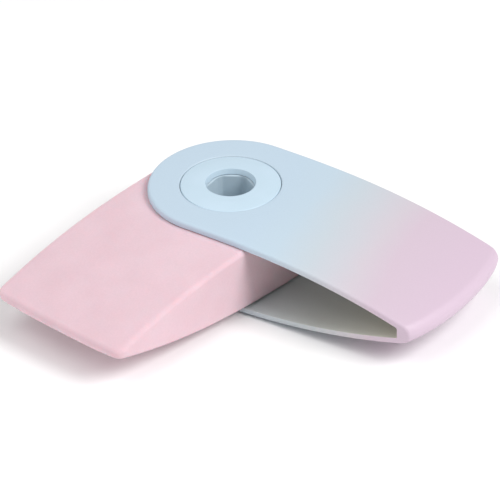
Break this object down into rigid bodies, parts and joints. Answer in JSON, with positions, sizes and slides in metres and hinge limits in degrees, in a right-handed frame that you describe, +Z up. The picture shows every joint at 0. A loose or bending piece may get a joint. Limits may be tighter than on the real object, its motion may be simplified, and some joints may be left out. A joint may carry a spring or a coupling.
{
  "type": "swivel eraser with sleeve",
  "caption": "Pocket eraser whose soft wedge swivels on a hollow hub between the plates of a rounded sleeve, so it swings out for use and folds back in for cover.",
  "frame": {"origin": "on the swivel's axis, half way between the sleeve's two plates", "axes": "+Z up along the swivel's axis, +X from the axis to the sleeve's closed tip"},
  "size_m": [0.0603, 0.0518, 0.0132],
  "materials": {
    "sleeve": "matt soft paint that fades from pale blue at the pivot to lilac at the tip",
    "eraser": "matt pink, fine-grained",
    "hub": "matt pale blue, moulded in colour"
  },
  "bodies": {
    "sleeve": {"sleeve": "sleeve"},
    "eraser": {"eraser_block": "eraser", "upper_pivot_hub": "hub", "lower_pivot_hub": "hub"}
  },
  "joints": [
    {"name": "eraser_swivel", "type": "hinge", "parent": "sleeve", "child": "eraser", "pos_m": [0, 0, 0], "axis": [0, 0, 1], "continuous": true}
  ]
}
